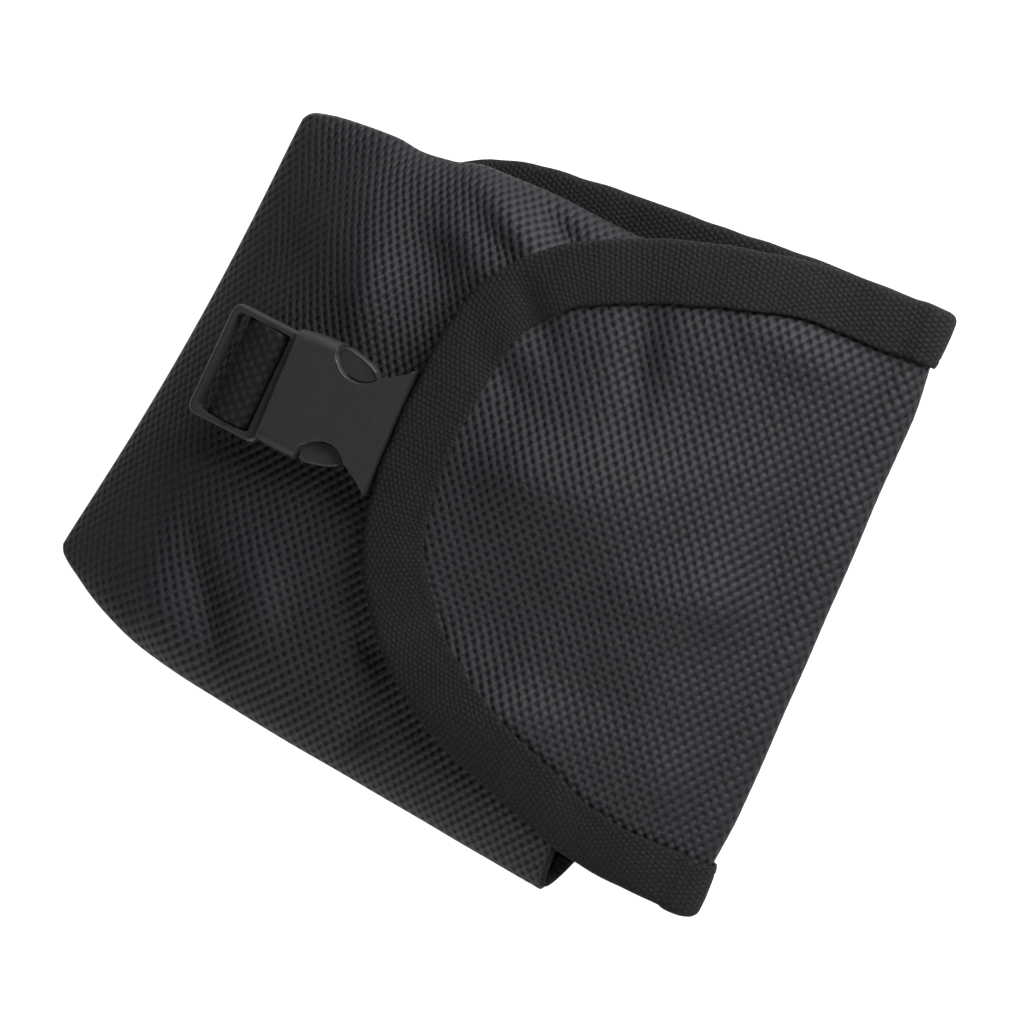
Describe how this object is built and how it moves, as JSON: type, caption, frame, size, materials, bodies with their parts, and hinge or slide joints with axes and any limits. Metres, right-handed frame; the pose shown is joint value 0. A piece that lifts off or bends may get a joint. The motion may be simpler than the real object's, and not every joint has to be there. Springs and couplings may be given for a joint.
{
  "type": "dive weight pocket",
  "caption": "Soft bound weight pocket for a dive belt with a round fold-over flap, a side-release buckle and belt loops on its back.",
  "frame": {"origin": "middle of the pocket's plan, on the plane it lies on", "axes": "+X across the pocket, +Y towards the fold at its top, +Z out of its front"},
  "size_m": [0.154, 0.174, 0.0371],
  "materials": {
    "cloth": "coarse basket-weave nylon",
    "tape": "ribbed binding tape",
    "webbing": "flat woven webbing",
    "thread": "sewing thread",
    "buckle": "satin moulded acetal",
    "eyelet": "black lacquered"
  },
  "bodies": {
    "pouch": {"back_panel": "cloth", "pouch_shell": "cloth", "back_binding_left": "tape", "back_binding_right": "tape", "mouth_hem": "tape", "belt_loop_left": "webbing", "belt_loop_right": "webbing", "belt_loop_tacks": "thread", "drain_eyelets": "eyelet", "eyelet_washers": "eyelet", "male_strap_base": "webbing", "male_strap_tack": "thread"},
    "flap": {"flap_panel": "cloth", "flap_binding": "tape", "buckle_socket": "buckle", "socket_strap": "webbing"},
    "male_half": {"buckle_male": "buckle", "male_strap": "webbing"},
    "tab_left": {"latch_left": "buckle"},
    "tab_right": {"latch_right": "buckle"}
  },
  "joints": [
    {"name": "flap_fold", "type": "hinge", "parent": "pouch", "child": "flap", "pos_m": [0, 0.0812, 0.012], "axis": [-1, 0, 0], "range_deg": [0, 165]},
    {"name": "buckle_release", "type": "slide", "parent": "flap", "child": "male_half", "axis": [0, -1, 0], "range_m": [0, 0.04], "deforming": ["latch_left", "latch_right"]},
    {"name": "tab_press_left", "type": "hinge", "parent": "male_half", "child": "tab_left", "pos_m": [-0.0092, -0.0502, 0.0329], "axis": [0, 0, -1], "range_deg": [0, 8], "stiffness_Nm_per_rad": 0.2},
    {"name": "tab_press_right", "type": "hinge", "parent": "male_half", "child": "tab_right", "pos_m": [0.0092, -0.0502, 0.0329], "axis": [0, 0, 1], "range_deg": [0, 8], "stiffness_Nm_per_rad": 0.2}
  ]
}
